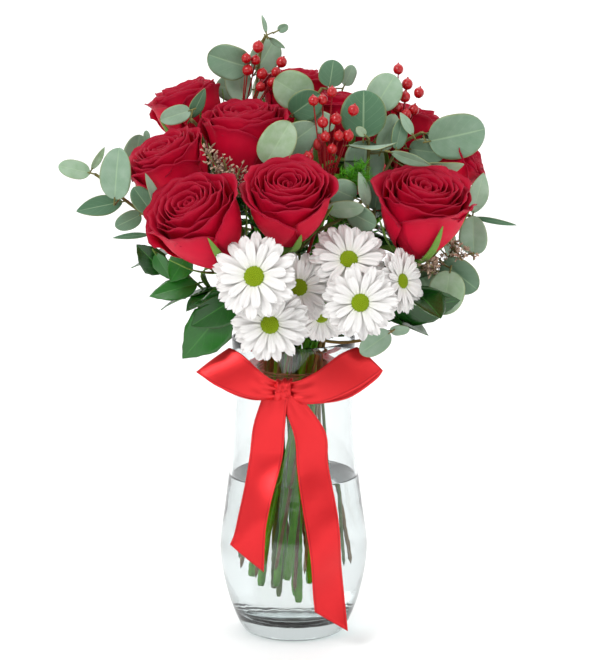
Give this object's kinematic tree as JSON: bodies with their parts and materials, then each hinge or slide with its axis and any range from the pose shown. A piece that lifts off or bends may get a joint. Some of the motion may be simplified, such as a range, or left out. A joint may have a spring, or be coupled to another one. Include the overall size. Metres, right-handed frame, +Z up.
{
  "type": "roses in a vase",
  "caption": "Hand-tied bouquet of red roses, white daisy chrysanthemums, red berries and eucalyptus in a clear glass vase of water, dressed with a red satin bow",
  "frame": {"origin": "the middle of the vase's foot, on the surface it stands on", "axes": "+Z up, +X to the right seen from the front, -Y towards the front, where the bow is"},
  "size_m": [0.3475, 0.2574, 0.4827],
  "materials": {
    "glass": "clear blown glass, polished",
    "water": "still clear water",
    "twine": "twisted brown garden twine",
    "ribbon": "woven red satin ribbon with a selvedge",
    "rose": "velvety crimson petals",
    "daisy": "white petals with a lime green disc",
    "berry": "waxy red pods on thin red stalks",
    "stem": "fresh green stem",
    "eucalyptus": "waxy grey-green leaves",
    "glossy_leaf": "glossy dark green leaves",
    "fern": "fine bright green fern",
    "dried": "dried brown twigs"
  },
  "bodies": {
    "root": {"berry_sprig_1": "berry", "berry_sprig_2": "berry", "berry_sprig_3": "berry", "chrysanthemum_1_bloom": "daisy", "chrysanthemum_2_bloom": "daisy", "chrysanthemum_3_bloom": "daisy", "chrysanthemum_4_bloom": "daisy", "chrysanthemum_5_bloom": "daisy", "chrysanthemum_6_bloom": "daisy", "chrysanthemum_7_bloom": "daisy", "chrysanthemum_stem_1": "stem", "chrysanthemum_stem_2": "stem", "eucalyptus_sprig_01": "eucalyptus", "eucalyptus_sprig_02": "eucalyptus", "eucalyptus_sprig_03": "eucalyptus", "eucalyptus_sprig_04": "eucalyptus", "eucalyptus_sprig_05": "eucalyptus", "eucalyptus_sprig_06": "eucalyptus", "eucalyptus_sprig_07": "eucalyptus", "eucalyptus_sprig_08": "eucalyptus", "eucalyptus_sprig_09": "eucalyptus", "eucalyptus_sprig_10": "eucalyptus", "fern_sprig": "fern", "glossy_leaf_1": "glossy_leaf", "glossy_leaf_2": "glossy_leaf", "limonium_sprig_1": "dried", "limonium_sprig_2": "dried", "ribbon_band": "ribbon", "ribbon_knot": "ribbon", "ribbon_loop_left": "ribbon", "ribbon_loop_right": "ribbon", "ribbon_tail_left": "ribbon", "ribbon_tail_right": "ribbon", "rose_01_bloom": "rose", "rose_01_stem": "stem", "rose_02_bloom": "rose", "rose_02_stem": "stem", "rose_03_bloom": "rose", "rose_03_stem": "stem", "rose_04_bloom": "rose", "rose_04_stem": "stem", "rose_05_bloom": "rose", "rose_05_stem": "stem", "rose_06_bloom": "rose", "rose_06_stem": "stem", "rose_07_bloom": "rose", "rose_07_stem": "stem", "rose_08_bloom": "rose", "rose_08_stem": "stem", "rose_09_bloom": "rose", "rose_09_stem": "stem", "rose_10_bloom": "rose", "rose_10_stem": "stem", "rose_11_bloom": "rose", "rose_11_stem": "stem", "rose_12_bloom": "rose", "rose_12_stem": "stem", "twine_tie": "twine", "vase": "glass", "water": "water"}
  },
  "joints": []
}
